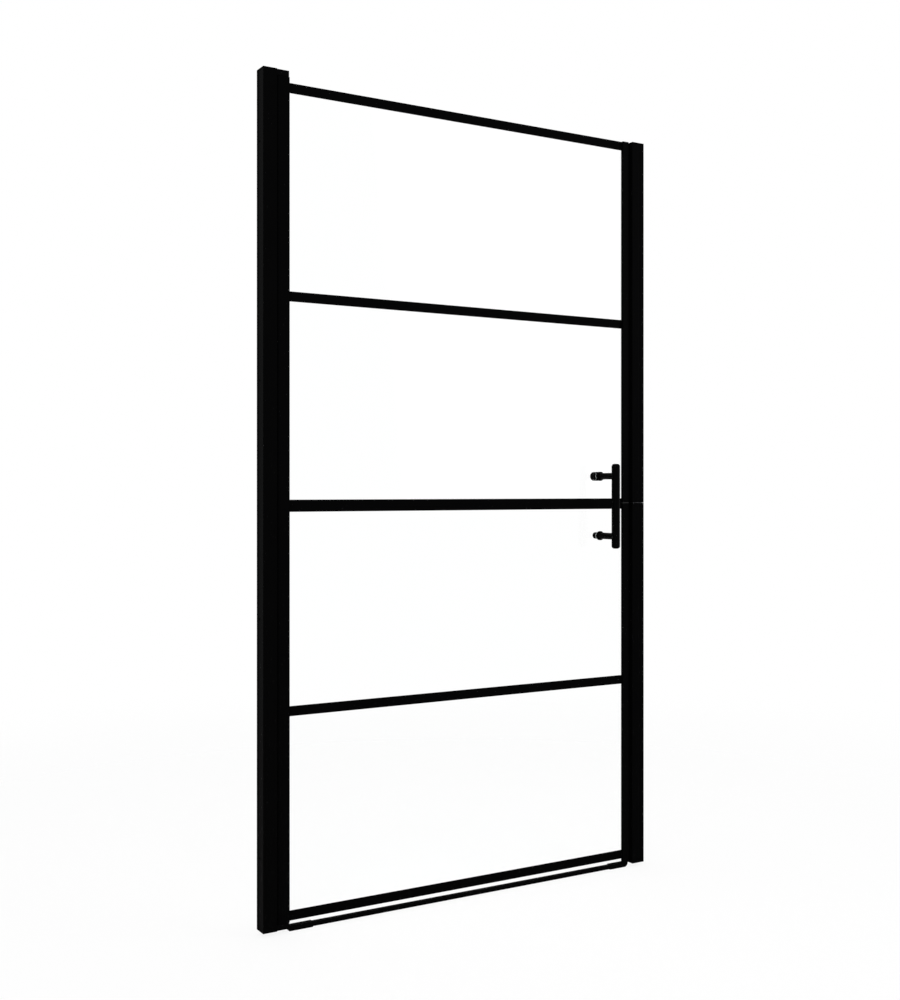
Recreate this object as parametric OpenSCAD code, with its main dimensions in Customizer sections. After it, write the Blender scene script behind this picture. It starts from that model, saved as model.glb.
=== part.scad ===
// Framed glass shower door for a niche, hung on the left and opening outwards.
// X runs from the hinge wall to the strike wall. Y runs from the outer side to the inner side, with
// the glass in the plane Y = 0. Z runs up from the feet of the two posts. The origin lies on the
// hinge wall, at the foot of the hinge post. The door is shown shut.

/* [Doorway] */
// Clear width between the two walls
opening_w = 1000; // [800:10:1200]
// Height of the hinge post
post_h = 1780; // [1600:10:2000]
// How far the leaf and the strike post end below the top of the hinge post
leaf_drop = 21; // [18:1:60]
// Depth of both posts, front to back
post_d = 35; // [33:1:44]

/* [Wall channels] */
// Width of the hinge channel, from the wall to its lips
channel_w = 31; // [28:0.5:40]
// Width of the strike channel, from the wall to its lips
strike_channel_w = 11; // [10.5:0.5:14]
// Thickness of the walls of the channels and of the strike covers
channel_t = 2; // [1.6:0.1:2.5]
// Depth of the silicone bed in the wall face
bed_depth = 1; // [0.5:0.1:1.5]
// Width of the land in front of the silicone bed
front_land = 12; // [8:0.5:14]
// Width of the land behind the silicone bed
rear_land = 5; // [3:0.5:8]
// Diameter of the wall screw holes
wall_hole_d = 5; // [4:0.5:6.5]
// Distance from the end of a post to its first wall screw hole
wall_hole_end = 150; // [80:10:300]
// Number of wall screw holes in each channel
wall_holes = 4; // [2:2:6]
// Thickness of the plastic end caps of the posts
cap_t = 1.6; // [1.2:0.1:2.4]
// Depth of the plugs under those end caps
cap_plug = 8; // [5:1:12]

/* [Inner posts] */
// Distance from the hinge wall to the hinge post, set when the door is fitted
hinge_fit = 9; // [7:0.5:11]
// Distance from the strike wall to the strike post, set when the door is fitted
strike_fit = 3.6; // [3.5:0.1:4.2]
// Thickness of the walls of the inner posts
post_t = 1.6; // [1.3:0.1:2.2]
// Sliding clearance between an inner post and what it slides in
slide_gap = 0.3; // [0.2:0.05:0.4]

/* [Lock screws] */
// Number of screws that lock an inner post in its channel, even to miss the joint at half height
lock_screws = 4; // [2:2:6]
// Distance from the end of a post to its first lock screw
lock_end = 260; // [160:10:400]
// Diameter of the lock screws' shanks
lock_d = 3.5; // [3:0.1:4]
// Length of the lock screws' shanks
lock_l = 7; // [6:0.5:9]
// Diameter of the lock screws' heads
lock_head_d = 7; // [6:0.5:8]
// Height of the lock screws' heads
lock_head_h = 2.2; // [1.6:0.2:3]
// Length of the adjusting slots in the hinge channel
lock_slot = 11; // [8:0.5:12]
// Wall of the caps over the lock screws' heads
lock_cap_t = 1.2; // [0.8:0.1:1.6]

/* [Pivots] */
// Height of the pivot blocks at the ends of the hinge post
block_h = 12; // [10:0.5:16]
// How far the pivot blocks end short of the hinge stile's free face
block_short = 0.8; // [0.5:0.1:2]
// Diameter of the pivot pins
pin_d = 8; // [6:0.5:8.5]
// Length of a pin that its block holds
pin_grip = 9; // [6:0.5:9.5]
// Length of a pin that stands out of its block
pin_reach = 14; // [8:0.5:16]
// Running clearance between a pin and its bush, on the radius
pin_clear = 0.06; // [0.02:0.01:0.1]
// Gap between a pivot block and the bush that turns on it
thrust_gap = 0.3; // [0.2:0.05:0.5]
// Thickness of the bushes' flanges
bush_flange = 0.8; // [0.6:0.1:1.5]
// Depth of the bushes' plugs in the hinge stile
bush_plug = 19; // [17:1:30]
// Diameter of the pivot block screws' shanks
block_screw_d = 3.8; // [3:0.1:4.2]
// Length of the pivot block screws' shanks
block_screw_l = 28; // [20:1:40]
// Diameter of the pivot block screws' heads
block_head_d = 6.8; // [6:0.2:8]
// Height of the pivot block screws' heads
block_head_h = 2.4; // [1.8:0.2:3]

/* [Hinge stile] */
// Width of the hinge stile
stile_w = 28.5; // [26:0.5:34]
// How far the stile's faces stand back from the faces of the posts
stile_setback = 3; // [2:0.5:4]
// Radius of the stile's round nose, about the swing axis
nose_r = 8.5; // [8:0.25:9]
// Thickness of the stile's walls
stile_t = 1.8; // [1.4:0.1:2.2]
// Gap between the stile and the hinge post
hinge_gap = 0.8; // [0.6:0.1:1.2]
// Width of the rubber seal in that gap
hinge_seal_w = 3; // [2:0.25:4]
// Depth of the groove that holds the rubber seal
hinge_seal_depth = 1.6; // [1.2:0.1:2.2]
// Gap between the rubber seal and the stile
seal_gap = 0.3; // [0.2:0.05:0.4]

/* [Glass] */
// Thickness of the pane
glass_t = 5; // [4:1:6]
// How deep the pane stands in the hinge stile
glass_bite = 10; // [7:0.5:10.5]
// How deep the pane stands in the closing stile
closing_bite = 11; // [9:0.5:11.5]
// How far the pane reaches below the feet of the posts
glass_below = 2; // [0:0.5:3]
// Thickness of the glazing gaskets on each side of the pane
gasket_t = 1.5; // [1:0.1:2]
// Thickness of the glazing gaskets behind the pane's edge
gasket_base = 0.8; // [0.5:0.1:1.2]
// How far the glazing gaskets stand out of the stiles
gasket_lip = 0.4; // [0.2:0.1:1]

/* [Closing stile] */
// Width of the closing stile, and of its front lip
closing_w = 17.5; // [17:0.5:26]
// Width of the closing stile behind the pane
closing_rear_w = 10; // [9:0.5:14]
// Depth of the closing stile
closing_d = 19.5; // [18:0.5:22]
// Thickness of the closing stile's walls
closing_t = 1.6; // [1.3:0.1:1.8]
// Thickness of the closing stile's end caps
closing_cap_t = 1.5; // [1:0.1:2.4]
// Depth of the plugs under those end caps
closing_plug = 9; // [5:1:14]

/* [Magnet strips] */
// Width of the magnet strips
magnet_w = 11; // [9:0.5:14]
// Thickness of each magnet strip, outside its seat
magnet_t = 2.3; // [1.8:0.1:3]
// Gap between the two strips when the door is shut
magnet_gap = 0.4; // [0.3:0.05:0.6]
// Width of the slot's mouth that holds the leaf's strip
slot_mouth = 5; // [4:0.5:6]
// Width of that slot behind its mouth
slot_w = 8; // [7:0.5:9]
// Depth of the slot's mouth
slot_lip = 1.1; // [0.9:0.1:1.3]
// Depth of the slot behind its mouth
slot_depth = 1.5; // [1.2:0.1:1.6]
// Clearance of the strip's foot in the slot
slot_clear = 0.1; // [0.05:0.05:0.2]

/* [Strike post] */
// Width of the strike post, from the wall to the closing side
strike_w = 35.5; // [32:0.5:45]
// Joint between the two lengths of strike cover and of strike channel
cover_joint = 0.6; // [0.3:0.1:1]
// Gap between the strike covers and the lips of the strike channel
cover_gap = 0.3; // [0.2:0.05:0.5]
// Width of the ribs that snap the covers on
snap_w = 1.2; // [0.8:0.1:2]
// Height of those ribs
snap_h = 0.8; // [0.5:0.1:0.9]
// Distance from the edge of a cover to its ribs
snap_in = 4; // [2:0.5:8]
// Thickness of the rubber stop lip
lip_t = 1.6; // [1.2:0.1:2]
// How far the stop lip reaches behind the closing stile
lip_reach = 2.5; // [1.5:0.5:6]
// Gap between the stop lip and the closing stile
lip_gap = 0.3; // [0.2:0.05:0.5]
// Thickness of the stop lip's base
lip_base_t = 1.6; // [1.2:0.1:2]

/* [Bars on the glass] */
// Height of the bars
bar_h = 21; // [14:0.5:30]
// Height of the middle bar
middle_bar_h = 25.5; // [16:0.5:36]
// Thickness of the bars
bar_t = 1; // [0.6:0.1:2]
// Height of the middle bar's centre above the feet of the posts
middle_bar_z = 877.5; // [700:0.5:1000]
// Height of the bottom bar's lower edge above the feet of the posts
bottom_bar_z = 12.5; // [10:0.5:40]
// Gap between the ends of the bars and the glazing gaskets
bar_gap = 0.1; // [0.05:0.05:0.5]

/* [Drip rail] */
// Depth of the drip rail, front to back
drip_d = 12; // [10:0.5:14]
// Height of the drip rail
drip_h = 9.7; // [9.4:0.1:12]
// How far the drip rail reaches up over the pane
drip_lap = 4.3; // [3.5:0.1:5]
// Length of the drip rail's end caps
drip_cap_l = 54; // [30:1:80]
// How far the end caps stand proud of the rail
drip_cap_over = 1.15; // [0.8:0.05:1.6]
// Thickness of the closed end of the cap at the hinge
drip_cap_t = 2; // [1.5:0.1:4]
// Radius of the lower corner of the cap at the hinge
drip_cap_r = 1.5; // [1:0.5:2.5]
// Thickness of the closed end of the cap at the closing edge
drip_tail_t = 9; // [8.5:0.5:14]
// Radius of the lower corner of the cap at the closing edge
drip_tail_r = 11; // [6:0.5:11]
// Gap between the hinge stile and the drip rail
drip_start = 2.2; // [2:0.1:5]
// Gap between the drip rail's far end and the closing edge
drip_stop = 1; // [0.5:0.1:5]
// Width of the slot under the rail that holds the seal
drip_slot_w = 5; // [4:0.5:6]
// Width of that slot's mouth
drip_mouth = 3; // [2:0.25:3.5]
// Depth of that slot's mouth
drip_mouth_depth = 1.1; // [0.9:0.1:1.4]
// Depth of that slot behind its mouth
drip_slot_depth = 1.5; // [1.2:0.1:1.8]
// How far the seal's lips hang below the rail
drip_seal_drop = 0.9; // [0.5:0.1:1.1]

/* [Handle] */
// Distance from the closing edge to the handle's posts
handle_inset = 84.5; // [60:0.5:140]
// Height of the handle's middle above the feet of the posts
handle_z = 872; // [750:1:1100]
// Distance between the handle's posts
handle_spacing = 143; // [110:1:170]
// Diameter of the grip
grip_d = 20; // [17:0.5:26]
// Length of the grip
grip_l = 201; // [198:1:320]
// Radius of the grip's end edges
grip_edge = 6.5; // [0.5:0.25:8]
// Distance from the pane's face to the grip's axis
handle_reach = 63.5; // [45:0.5:80]
// Diameter of the posts between grip and collar
handle_post_d = 15.5; // [11:0.5:16.5]
// Diameter of the collars on the glass
collar_d = 22; // [18.5:0.5:28]
// Length of the collars
collar_l = 4; // [3:0.5:12]
// Diameter of the soft washers on both faces of the glass
washer_d = 18; // [16:0.5:19.5]
// Thickness of the soft washers
washer_t = 1; // [0.6:0.1:2]
// Diameter of the holes in the glass
glass_hole_d = 12; // [9:0.5:14]
// Diameter of the studs through the glass
stud_d = 6; // [5:0.5:7]
// Depth of a stud in the grip
stud_in_grip = 6; // [4:0.5:8]
// Depth of a stud in the knob or the cap nut
stud_in_nut = 6.5; // [4:0.5:7]
// Clearance round the studs, on the radius
stud_clear = 0.1; // [0.05:0.05:0.2]
// Diameter of the inner knob on the upper stud
knob_d = 21.5; // [14:0.5:30]
// Length of the inner knob
knob_l = 20.5; // [10:0.5:30]
// Radius of the knob's edge
knob_edge = 3; // [1:0.25:5]
// Diameter of the cap nut on the lower stud
nut_d = 15.5; // [12:0.5:19]
// Length of the cap nut
nut_l = 15; // [8.5:0.5:20]
// Radius of the cap nut's edge
nut_edge = 3; // [1:0.25:4]

/* [Hidden] */
$fn = 64;
// How far a cutting tool runs past the face that it cuts
over = 1;
// Edge radius of the extruded profiles
edge_r = 0.6;
// Edge radius of the pivot blocks
block_edge = 2;
// Clearance of plugs, pins and caps that are pushed into their seats, on each side
seat_gap = 0.1;
press_gap = 0.02;
// Chamfer of the pivot pins
pin_chamfer = 0.8;

// Posts, seen from above
web_t = channel_t + bed_depth;
nest_d = post_d - 2 * channel_t;
slide_d = nest_d - 2 * slide_gap;
bed_y = (front_land - rear_land) / 2;
strike_h = post_h - leaf_drop;
lower_joint_z = strike_h / 2 - cover_joint / 2;
upper_joint_z = strike_h / 2 + cover_joint / 2;
strike_x = opening_w - strike_w;
cover_x1 = opening_w - strike_channel_w - cover_gap;
strike_post_x0 = strike_x + channel_t + slide_gap;
strike_post_x1 = opening_w - strike_fit;
snap_x = cover_x1 - snap_in - snap_w;
lock_cap_d = lock_head_d + 2 * lock_cap_t;
hinge_lock_x = (hinge_fit + channel_w) / 2;
strike_lock_x = opening_w - strike_channel_w + lock_cap_d / 2;
port_r = block_screw_d / 2 + post_t;
port_x = hinge_fit + port_r;
port_y = slide_d / 2 - post_t - port_r - 1.5;

// Hinge stile and swing axis
stile_d = post_d - 2 * stile_setback;
stile_x0 = channel_w + hinge_gap;
stile_x1 = stile_x0 + stile_w;
axis_x = stile_x0 + nose_r;
axis_y = nose_r - stile_d / 2;
stile_z0 = block_h + thrust_gap + bush_flange;
stile_z1 = post_h - stile_z0;
block_x1 = stile_x1 - block_short;
hinge_seal_y = slide_d / 2 - post_t - hinge_seal_w;

// Leaf
closing_x1 = strike_x - 2 * magnet_t - magnet_gap;
closing_x0 = closing_x1 - closing_w;
closing_rear_x = closing_x1 - closing_rear_w;
pocket_w = glass_t + 2 * gasket_t;
pocket_x = stile_x1 - glass_bite - gasket_base;
closing_pocket_x = closing_x0 + closing_bite + gasket_base;
glass_x0 = stile_x1 - glass_bite;
glass_x1 = closing_x0 + closing_bite;
glass_z0 = -glass_below;
glass_z1 = post_h - leaf_drop;
bar_x0 = stile_x1 + gasket_lip + bar_gap;
bar_x1 = closing_x0 - gasket_lip - bar_gap;
bar_y = -glass_t / 2 - bar_t;
middle_z0 = middle_bar_z - middle_bar_h / 2;
middle_z1 = middle_bar_z + middle_bar_h / 2;
upper_bar_z = (middle_z1 + glass_z1 - bar_h) / 2 - bar_h / 2;
lower_bar_z = (bottom_bar_z + bar_h + middle_z0) / 2 - bar_h / 2;

// Drip rail
drip_z1 = glass_z0 + drip_lap;
drip_z0 = drip_z1 - drip_h;
drip_cap_z0 = drip_z0 - drip_cap_over;
drip_cap_z1 = drip_z1 + drip_cap_over;
drip_cap_d = drip_d + 2 * drip_cap_over;
drip_cap_x0 = stile_x1 + drip_start;
drip_cap_x1 = closing_x1 - drip_stop;
drip_x0 = drip_cap_x0 + drip_cap_t;
drip_x1 = drip_cap_x1 - drip_tail_t;
closing_z0 = drip_cap_z1;

// Handle
handle_x = closing_x1 - handle_inset;
grip_y = -glass_t / 2 - handle_reach;
collar_y = -glass_t / 2 - washer_t;
nut_y = glass_t / 2 + washer_t;
stud_y0 = grip_y + grip_d / 2 - stud_in_grip;
stud_y1 = nut_y + stud_in_nut;
upper_z = handle_z + handle_spacing / 2;
lower_z = handle_z - handle_spacing / 2;

// Finishes
coat_black = [0.03, 0.03, 0.032];
plastic_black = [0.05, 0.05, 0.05];
rubber_black = [0.07, 0.07, 0.07];
alloy_bare = [0.75, 0.76, 0.77];
steel_bright = [0.7, 0.7, 0.72];
nylon_white = [0.9, 0.9, 0.87];
nylon_black = [0.06, 0.06, 0.065];
soft_clear = [0.86, 0.88, 0.88, 0.7];
glass_clear = [0.82, 0.92, 0.9, 0.25];

// Evenly spread heights along a post
function spread(count, end, height) =
  [for (i = [0 : count - 1]) end + i * (height - 2 * end) / (count - 1)];

// Rectangle between two corners
module box2(x0, y0, x1, y1) {
  translate([x0, y0]) square([x1 - x0, y1 - y0]);
}

// Rectangle between two corners, with round corners
module soft_box2(x0, y0, x1, y1, r) {
  box2(x0 + r, y0, x1 - r, y1);
  box2(x0, y0 + r, x1, y1 - r);
  for (x = [x0 + r, x1 - r], y = [y0 + r, y1 - r])
    translate([x, y]) circle(r = r);
}

// Profile drawn from above, extruded between two heights
module rise(z0, z1) {
  translate([0, 0, z0]) linear_extrude(z1 - z0) children();
}

// The upper end of the hinge side, turned over for its lower end
module lower_end() {
  translate([0, 0, post_h]) mirror([0, 0, 1]) children();
}

// The upper end of the strike side, turned over for its lower end
module lower_strike_end() {
  translate([0, 0, strike_h]) mirror([0, 0, 1]) children();
}

// The strike channel is drawn like the hinge channel and faces it
module from_strike_wall() {
  translate([opening_w, 0, 0]) mirror([1, 0, 0]) children();
}

// Turned piece along +Y, from its seat to a free end with a round edge
module turned(d, l, edge) {
  rotate([-90, 0, 0]) rotate_extrude() intersection() {
    soft_box2(-d / 2, -l, d / 2, l, edge);
    box2(0, 0, d, l);
  }
}

// Rod along +Y, from one Y to another
module rod_y(x, y0, y1, z, d) {
  translate([x, y0, z]) rotate([-90, 0, 0]) cylinder(d = d, h = y1 - y0);
}

// Ring along +Y, from one Y to another
module ring_y(y0, y1, z, outer, inner) {
  difference() {
    rod_y(handle_x, y0, y1, z, outer);
    rod_y(handle_x, y0 - over, y1 + over, z, inner);
  }
}

// Wall channel: two lands meet the wall, with the silicone bed between them
module channel_profile(w) {
  difference() {
    soft_box2(0, -post_d / 2, w, post_d / 2, edge_r);
    box2(web_t, -nest_d / 2, w + over, nest_d / 2);
    box2(-over, front_land - post_d / 2, bed_depth, post_d / 2 - rear_land);
  }
}

// Length of wall channel between two heights, drilled for a post of height h
module wall_channel(w, h, z0, z1) {
  difference() {
    rise(z0, z1) channel_profile(w);
    for (z = spread(wall_holes, wall_hole_end, h))
      translate([-over, bed_y, z]) rotate([0, 90, 0]) cylinder(d = wall_hole_d, h = web_t + 2 * over);
  }
}

// Slot through the rear lip of the hinge channel, for one lock screw
module lock_slot_cut(z) {
  slot_end = (lock_slot - lock_d) / 2 - seat_gap;
  slot_d = lock_d + 2 * seat_gap;
  for (x = [-slot_end, slot_end])
    rod_y(hinge_lock_x + x, slide_d / 2, post_d / 2 + over, z, slot_d);
  translate([hinge_lock_x - slot_end, slide_d / 2, z - slot_d / 2])
    cube([2 * slot_end, channel_t + slide_gap + over, slot_d]);
}

module hinge_wall_channel() {
  color(coat_black) difference() {
    wall_channel(channel_w, post_h, cap_t, post_h - cap_t);
    for (z = spread(lock_screws, lock_end, post_h)) lock_slot_cut(z);
  }
}

// Inner post: a box with two screw ports and a groove for the rubber seal
module hinge_post_profile() {
  seal_wall = hinge_seal_depth + post_t;
  difference() {
    union() {
      difference() {
        box2(hinge_fit, -slide_d / 2, channel_w, slide_d / 2);
        box2(hinge_fit + post_t, post_t - slide_d / 2, channel_w - post_t, slide_d / 2 - post_t);
      }
      for (y = [-port_y, port_y]) translate([port_x, y]) circle(r = port_r);
      box2(channel_w - seal_wall, hinge_seal_y - hinge_seal_w / 2 - post_t, channel_w, slide_d / 2);
    }
    for (y = [-port_y, port_y]) translate([port_x, y]) circle(d = block_screw_d + 2 * press_gap);
    box2(channel_w - hinge_seal_depth, hinge_seal_y - hinge_seal_w / 2,
      channel_w + over, hinge_seal_y + hinge_seal_w / 2);
  }
}

module hinge_post() {
  color(coat_black) difference() {
    rise(block_h, post_h - block_h) hinge_post_profile();
    for (z = spread(lock_screws, lock_end, post_h))
      rod_y(hinge_lock_x, slide_d / 2 - post_t - over, slide_d / 2 + over, z, lock_d + 2 * press_gap);
  }
}

// Cap over the end of the hinge channel, with a plug beside the hinge post
module hinge_cap() {
  rise(post_h - cap_t, post_h) soft_box2(0, -post_d / 2, channel_w, post_d / 2, edge_r);
  rise(post_h - cap_t - cap_plug, post_h - cap_t)
    box2(web_t + seat_gap, seat_gap - nest_d / 2, hinge_fit - seat_gap, nest_d / 2 - seat_gap);
}

module hinge_cap_top() {
  color(plastic_black) hinge_cap();
}

module hinge_cap_bottom() {
  color(plastic_black) lower_end() hinge_cap();
}

module hinge_seal() {
  seal_out = hinge_gap - seal_gap;
  color(rubber_black) rise(block_h, post_h - block_h)
    box2(channel_w - hinge_seal_depth, hinge_seal_y - hinge_seal_w / 2,
      channel_w + seal_out, hinge_seal_y + hinge_seal_w / 2);
}

// Screw from the inner side, with its head on the channel's rear lip
module lock_screw(x, z) {
  rod_y(x, post_d / 2 - lock_l, post_d / 2, z, lock_d);
  translate([x, post_d / 2, z]) turned(lock_head_d, lock_head_h, lock_head_h / 2);
}

module lock_cap(x, z) {
  difference() {
    translate([x, post_d / 2, z]) turned(lock_cap_d, lock_head_h + lock_cap_t, lock_cap_t);
    rod_y(x, post_d / 2 - over, post_d / 2 + lock_head_h, z, lock_head_d);
  }
}

module hinge_lock_screws() {
  color(steel_bright) for (z = spread(lock_screws, lock_end, post_h)) lock_screw(hinge_lock_x, z);
}

module hinge_lock_caps() {
  color(plastic_black) for (z = spread(lock_screws, lock_end, post_h)) lock_cap(hinge_lock_x, z);
}

// Pivot block: its foot closes the end of the hinge post, its lobe holds the pin over the stile
module pivot_block() {
  foot_z1 = post_h - cap_t;
  lobe_x0 = channel_w + seat_gap;
  difference() {
    union() {
      rise(post_h - block_h, foot_z1) box2(hinge_fit, -slide_d / 2, channel_w, slide_d / 2);
      rise(post_h - block_h, foot_z1)
        box2(channel_w - over, -stile_d / 2, lobe_x0 + block_edge, stile_d / 2);
      rise(post_h - block_h, post_h) soft_box2(lobe_x0, -stile_d / 2, block_x1, stile_d / 2, block_edge);
    }
    translate([axis_x, axis_y, post_h - block_h - over])
      cylinder(d = pin_d + 2 * press_gap, h = pin_grip + over);
    for (y = [-port_y, port_y]) translate([port_x, y, post_h - block_h - over]) {
      cylinder(d = block_screw_d + 2 * press_gap, h = block_h + 2 * over);
      translate([0, 0, over + block_h - cap_t - block_head_h])
        cylinder(d = block_head_d + 2 * seat_gap, h = block_head_h + over);
    }
  }
}

module upper_pivot_block() {
  color(plastic_black) pivot_block();
}

module lower_pivot_block() {
  color(plastic_black) lower_end() pivot_block();
}

module pivot_pin() {
  translate([axis_x, axis_y, post_h - block_h - pin_reach]) {
    cylinder(d1 = pin_d - 2 * pin_chamfer, d2 = pin_d, h = pin_chamfer);
    translate([0, 0, pin_chamfer]) cylinder(d = pin_d, h = pin_reach + pin_grip - pin_chamfer);
  }
}

module upper_pivot_pin() {
  color(steel_bright) pivot_pin();
}

module lower_pivot_pin() {
  color(steel_bright) lower_end() pivot_pin();
}

// Two screws through a pivot block into the screw ports of the hinge post
module block_screw_pair() {
  head_z = post_h - cap_t - block_head_h;
  for (y = [-port_y, port_y]) translate([port_x, y, head_z]) {
    cylinder(d = block_head_d, h = block_head_h);
    translate([0, 0, -block_screw_l]) cylinder(d = block_screw_d, h = block_screw_l);
  }
}

module pivot_block_screws() {
  color(steel_bright) {
    block_screw_pair();
    lower_end() block_screw_pair();
  }
}

// The strike channel comes in two lengths, butted level with the covers
module strike_channel(z0, z1) {
  color(coat_black) difference() {
    from_strike_wall() wall_channel(strike_channel_w, strike_h, z0, z1);
    for (z = spread(lock_screws, lock_end, strike_h))
      rod_y(strike_lock_x, slide_d / 2, post_d / 2 + over, z, lock_d + 2 * seat_gap);
  }
}

module strike_channel_upper() {
  strike_channel(upper_joint_z, strike_h - cap_t);
}

module strike_channel_lower() {
  strike_channel(cap_t, lower_joint_z);
}

// Inner strike post: a box with grooves for the snap ribs of the covers
module strike_post_profile() {
  groove_x0 = snap_x - seat_gap;
  groove_x1 = snap_x + snap_w + seat_gap;
  groove_y = nest_d / 2 - snap_h - seat_gap;
  difference() {
    box2(strike_post_x0, -slide_d / 2, strike_post_x1, slide_d / 2);
    box2(strike_post_x0 + post_t, post_t - slide_d / 2, strike_post_x1 - post_t, slide_d / 2 - post_t);
    box2(groove_x0, groove_y, groove_x1, slide_d / 2 + over);
    box2(groove_x0, -slide_d / 2 - over, groove_x1, -groove_y);
  }
}

module strike_post() {
  color(alloy_bare) difference() {
    rise(cap_t, strike_h - cap_t) strike_post_profile();
    for (z = spread(lock_screws, lock_end, strike_h))
      rod_y(strike_lock_x, post_d / 2 - lock_l - over, slide_d / 2 + over, z, lock_d + 2 * press_gap);
  }
}

// Snap-on cover, open towards the strike channel
module strike_cover_profile() {
  difference() {
    soft_box2(strike_x, -post_d / 2, cover_x1, post_d / 2, edge_r);
    box2(strike_x + channel_t, -nest_d / 2, cover_x1 + over, nest_d / 2);
  }
  box2(snap_x, nest_d / 2 - snap_h, snap_x + snap_w, nest_d / 2 + seat_gap);
  box2(snap_x, -nest_d / 2 - seat_gap, snap_x + snap_w, snap_h - nest_d / 2);
}

module strike_cover_upper() {
  color(coat_black) rise(upper_joint_z, strike_h - cap_t) strike_cover_profile();
}

module strike_cover_lower() {
  color(coat_black) rise(cap_t, lower_joint_z) strike_cover_profile();
}

module strike_cap() {
  inner_x0 = strike_post_x0 + post_t + seat_gap;
  inner_x1 = strike_post_x1 - post_t - seat_gap;
  inner_y = slide_d / 2 - post_t - seat_gap;
  rise(strike_h - cap_t, strike_h) soft_box2(strike_x, -post_d / 2, opening_w, post_d / 2, edge_r);
  rise(strike_h - cap_t - cap_plug, strike_h - cap_t) box2(inner_x0, -inner_y, inner_x1, inner_y);
}

module strike_cap_top() {
  color(plastic_black) strike_cap();
}

module strike_cap_bottom() {
  color(plastic_black) lower_strike_end() strike_cap();
}

module strike_magnet_strip() {
  color(rubber_black) rise(cap_t, strike_h - cap_t)
    soft_box2(strike_x - magnet_t, -magnet_w / 2, strike_x, magnet_w / 2, edge_r);
}

// Rubber lip on the strike post, which the closing stile meets when the door shuts
module strike_stop_seal() {
  lip_y = closing_d / 2 + lip_gap;
  lip_x0 = closing_x1 - lip_reach;
  color(rubber_black) rise(cap_t, strike_h - cap_t) {
    translate([lip_x0 + lip_t / 2, lip_y + lip_t / 2]) circle(d = lip_t);
    box2(lip_x0 + lip_t / 2, lip_y, strike_x, lip_y + lip_t);
    box2(strike_x - lip_base_t, lip_y + lip_t / 2, strike_x, post_d / 2 - edge_r);
  }
}

module strike_lock_screws() {
  color(steel_bright) for (z = spread(lock_screws, lock_end, strike_h)) lock_screw(strike_lock_x, z);
}

module strike_lock_caps() {
  color(plastic_black) for (z = spread(lock_screws, lock_end, strike_h)) lock_cap(strike_lock_x, z);
}

// Outline of the hinge stile: a round nose about the swing axis, square on its other corners
module stile_outline(inset) {
  intersection() {
    soft_box2(stile_x0 + inset, inset - stile_d / 2, stile_x1 - inset, stile_d / 2 - inset, edge_r);
    union() {
      translate([axis_x, axis_y]) circle(r = nose_r - inset);
      box2(axis_x, -stile_d / 2, stile_x1, stile_d / 2);
      box2(stile_x0, axis_y, axis_x + over, stile_d / 2);
    }
  }
}

// Chamber of the hinge stile round the swing axis
module chamber_profile(inset) {
  wall = stile_t + inset;
  intersection() {
    box2(stile_x0 + wall, wall - stile_d / 2, pocket_x - wall, stile_d / 2 - wall);
    union() {
      translate([axis_x, axis_y]) circle(r = nose_r - wall);
      box2(axis_x, -stile_d / 2, stile_x1, stile_d / 2);
      box2(stile_x0, axis_y, axis_x + over, stile_d / 2);
    }
  }
}

module hinge_stile() {
  side_inner = pocket_w / 2 + stile_t;
  side_outer = stile_d / 2 - stile_t;
  color(coat_black) rise(stile_z0, stile_z1) difference() {
    stile_outline(0);
    chamber_profile(0);
    box2(pocket_x, side_inner, stile_x1 - stile_t, side_outer);
    box2(pocket_x, -side_outer, stile_x1 - stile_t, -side_inner);
    box2(pocket_x, -pocket_w / 2, stile_x1 + over, pocket_w / 2);
  }
}

// Nylon plug in the end of the hinge stile, bored for the pin
module pivot_bush() {
  bore_depth = pin_reach - thrust_gap + over;
  difference() {
    union() {
      rise(stile_z1 - bush_plug, stile_z1) chamber_profile(seat_gap);
      rise(stile_z1, stile_z1 + bush_flange) stile_outline(edge_r);
    }
    translate([axis_x, axis_y, stile_z1 + bush_flange - bore_depth])
      cylinder(d = pin_d + 2 * pin_clear, h = bore_depth + over);
  }
}

module upper_pivot_bush() {
  color(nylon_black) pivot_bush();
}

module lower_pivot_bush() {
  color(nylon_black) lower_end() pivot_bush();
}

module hinge_gasket() {
  color(rubber_black) rise(stile_z0, glass_z1) difference() {
    box2(pocket_x, -pocket_w / 2, stile_x1 + gasket_lip, pocket_w / 2);
    box2(glass_x0, -glass_t / 2, stile_x1 + gasket_lip + over, glass_t / 2);
  }
}

// Tempered pane, notched over the lower pivot and drilled for the handle
module glass_pane() {
  color(glass_clear) difference() {
    translate([glass_x0, -glass_t / 2, glass_z0])
      cube([glass_x1 - glass_x0, glass_t, glass_z1 - glass_z0]);
    translate([glass_x0 - over, -glass_t, glass_z0 - over])
      cube([drip_x0 - glass_x0 + over, 2 * glass_t, stile_z0 - glass_z0 + over]);
    for (z = [lower_z, upper_z]) rod_y(handle_x, -glass_t, glass_t, z, glass_hole_d);
  }
}

// Room behind the pane that the closing stile's short rear lip leaves free
module rear_lip_cut(x0) {
  box2(x0 - over, glass_t / 2, closing_rear_x, closing_d / 2 + over);
}

// The closing stile's two narrow chambers; the rear one is as short as its lip
module closing_chambers(gap) {
  inner = pocket_w / 2 + closing_t + gap;
  outer = closing_d / 2 - closing_t - gap;
  x1 = closing_pocket_x - gap;
  box2(closing_x0 + closing_t + gap, -outer, x1, -inner);
  box2(closing_rear_x + closing_t + gap, inner, x1, outer);
}

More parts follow.
